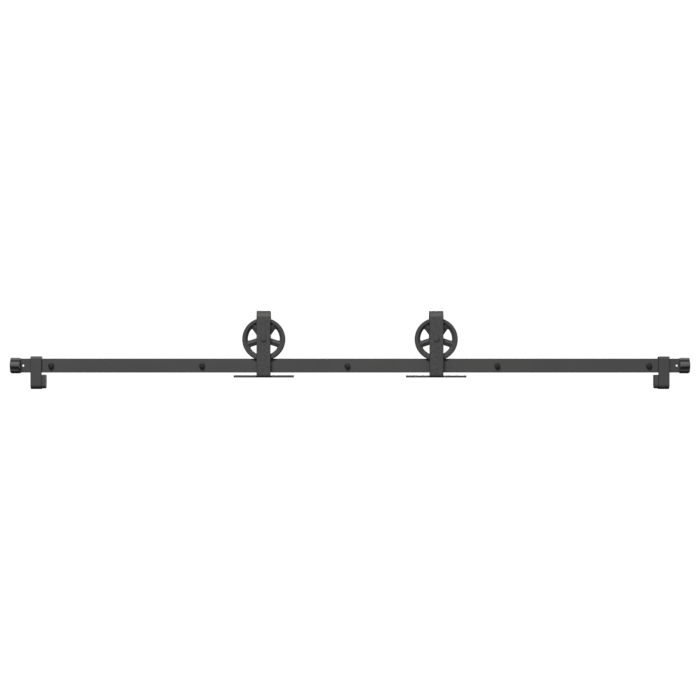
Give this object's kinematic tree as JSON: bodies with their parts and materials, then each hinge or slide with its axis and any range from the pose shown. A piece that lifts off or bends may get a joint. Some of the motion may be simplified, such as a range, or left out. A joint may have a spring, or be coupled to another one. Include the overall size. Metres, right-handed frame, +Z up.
{
  "type": "sliding barn door hardware",
  "caption": "Flat steel rail on wall spacers, with end caps, rubber-faced stops and spoked-wheel hangers that roll along its top edge to carry a sliding door.",
  "frame": {"origin": "on the wall plane, behind the middle of the rail's length and height", "axes": "+X along the rail to the right as seen from the room, +Y into the wall, +Z up"},
  "size_m": [1.844, 0.0974, 0.213],
  "materials": {
    "coat": "satin black powder coat",
    "wheel_coat": "satin black paint on cast iron",
    "black_bolt": "black oxide",
    "rubber": "matt moulded rubber",
    "zinc": "bright zinc plate",
    "bearing_steel": "ground bearing steel",
    "cage_brass": "pressed cage and balls"
  },
  "bodies": {
    "rail": {"rail": "coat", "lag_bolt_1": "black_bolt", "bolt_washer_1": "coat", "wall_spacer_1": "coat", "lag_bolt_2": "black_bolt", "bolt_washer_2": "coat", "wall_spacer_2": "coat", "lag_bolt_3": "black_bolt", "bolt_washer_3": "coat", "wall_spacer_3": "coat", "lag_bolt_4": "black_bolt", "bolt_washer_4": "coat", "wall_spacer_4": "coat", "lag_bolt_5": "black_bolt", "bolt_washer_5": "coat", "wall_spacer_5": "coat", "left_end_cap": "rubber", "left_stop_plate": "coat", "left_stop_bumper": "rubber", "left_bumper_screw": "black_bolt", "left_stop_set_screw_1": "black_bolt", "left_stop_set_screw_2": "black_bolt", "right_end_cap": "rubber", "right_stop_plate": "coat", "right_stop_bumper": "rubber", "right_bumper_screw": "black_bolt", "right_stop_set_screw_1": "black_bolt", "right_stop_set_screw_2": "black_bolt"},
    "left_hanger": {"left_strap": "coat", "left_axle_bolt": "coat", "left_axle_nut": "zinc", "left_bearing_sleeve": "zinc", "left_axle_spacer_front": "zinc", "left_axle_spacer_rear": "zinc", "left_front_inner_ring": "bearing_steel", "left_rear_inner_ring": "bearing_steel"},
    "left_wheel": {"left_wheel": "wheel_coat", "left_front_outer_ring": "bearing_steel", "left_rear_outer_ring": "bearing_steel"},
    "left_ball_cages": {"left_front_ball_cage": "cage_brass", "left_rear_ball_cage": "cage_brass"},
    "right_hanger": {"right_strap": "coat", "right_axle_bolt": "coat", "right_axle_nut": "zinc", "right_bearing_sleeve": "zinc", "right_axle_spacer_front": "zinc", "right_axle_spacer_rear": "zinc", "right_front_inner_ring": "bearing_steel", "right_rear_inner_ring": "bearing_steel"},
    "right_wheel": {"right_wheel": "wheel_coat", "right_front_outer_ring": "bearing_steel", "right_rear_outer_ring": "bearing_steel"},
    "right_ball_cages": {"right_front_ball_cage": "cage_brass", "right_rear_ball_cage": "cage_brass"}
  },
  "joints": [
    {"name": "left_hanger_roll", "type": "slide", "parent": "rail", "child": "left_hanger", "axis": [1, 0, 0], "range_m": [-0.51, 0.145]},
    {"name": "left_wheel_spin", "type": "hinge", "parent": "left_hanger", "child": "left_wheel", "pos_m": [-0.2345, -0.038, 0.0716], "axis": [0, 1, 0], "continuous": true},
    {"name": "left_ball_cage_spin", "type": "hinge", "parent": "left_hanger", "child": "left_ball_cages", "pos_m": [-0.2345, -0.038, 0.0716], "axis": [0, 1, 0], "continuous": true},
    {"name": "right_hanger_roll", "type": "slide", "parent": "rail", "child": "right_hanger", "axis": [1, 0, 0], "range_m": [-0.145, 0.51]},
    {"name": "right_wheel_spin", "type": "hinge", "parent": "right_hanger", "child": "right_wheel", "pos_m": [0.2345, -0.038, 0.0716], "axis": [0, 1, 0], "continuous": true},
    {"name": "right_ball_cage_spin", "type": "hinge", "parent": "right_hanger", "child": "right_ball_cages", "pos_m": [0.2345, -0.038, 0.0716], "axis": [0, 1, 0], "continuous": true}
  ],
  "couplings": [
    {"joint": "left_wheel_spin", "follows": "left_hanger_roll", "rad_per_m": 19.048},
    {"joint": "left_ball_cage_spin", "follows": "left_hanger_roll", "rad_per_m": 11.852},
    {"joint": "right_wheel_spin", "follows": "right_hanger_roll", "rad_per_m": 19.048},
    {"joint": "right_ball_cage_spin", "follows": "right_hanger_roll", "rad_per_m": 11.852}
  ]
}
